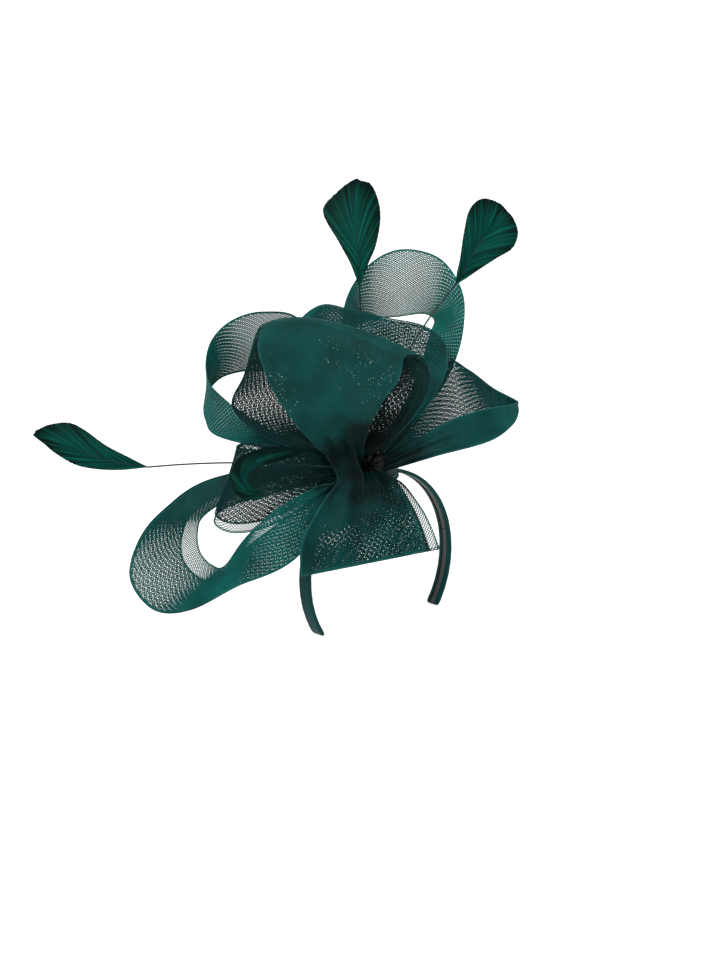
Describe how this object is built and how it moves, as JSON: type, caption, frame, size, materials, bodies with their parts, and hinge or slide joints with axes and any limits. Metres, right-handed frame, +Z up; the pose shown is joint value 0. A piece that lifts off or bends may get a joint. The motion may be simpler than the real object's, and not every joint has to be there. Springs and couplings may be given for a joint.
{
  "type": "fascinator headpiece",
  "caption": "Green crin-loop fascinator with curled feathers on a narrow satin-covered Alice band, worn on the right of the crown",
  "frame": {"origin": "centre of the band's crown arc, half way through the band's width, which is the middle of the wearer's head at the band", "axes": "+Z up to the top of the head, the wearer faces -Y, +X is the wearer's left; the band's arc lies in the XZ plane"},
  "size_m": [0.2828, 0.2305, 0.3082],
  "materials": {
    "satin": "dark bottle-green satin ribbon, soft sheen",
    "band_core": "sprung black plastic strip",
    "felt": "bottle-green wool felt",
    "buckram": "stiffened open weave, dyed to match",
    "crin": "open polyester horsehair braid, slight gloss",
    "thread": "waxed sewing thread",
    "quill": "stripped and dyed feather quill",
    "feather": "dyed goose feather vane, silky"
  },
  "bodies": {
    "root": {"band_core_crown": "band_core", "band_cover_crown": "satin", "felt_disc": "felt", "buckram_disc": "buckram", "centre_knot": "crin", "binding_thread": "thread", "central_bud": "crin", "upper_middle_loop": "crin", "top_left_loop": "crin", "top_right_loop": "crin", "right_loop": "crin", "front_tail": "crin", "lower_left_loop": "crin", "small_lower_loop": "crin", "left_feather_quill": "quill", "left_feather_vane": "feather", "top_feather_quill": "quill", "top_feather_vane": "feather", "right_feather_quill": "quill", "right_feather_vane": "feather", "curled_feather_quill": "quill", "curled_feather_vane": "feather"},
    "left_leg": {"band_core_left_leg": "band_core", "band_cover_left_leg": "satin", "band_tip_left_leg": "satin"},
    "right_leg": {"band_core_right_leg": "band_core", "band_cover_right_leg": "satin", "band_tip_right_leg": "satin"}
  },
  "joints": [
    {"name": "left_leg_flex", "type": "hinge", "parent": "root", "child": "left_leg", "pos_m": [0.06638, 0, 0.0117], "axis": [0, -1, 0], "range_deg": [-3, 12], "stiffness_Nm_per_rad": 0.6},
    {"name": "right_leg_flex", "type": "hinge", "parent": "root", "child": "right_leg", "pos_m": [-0.06638, 0, 0.0117], "axis": [0, 1, 0], "range_deg": [-3, 12], "stiffness_Nm_per_rad": 0.6}
  ]
}
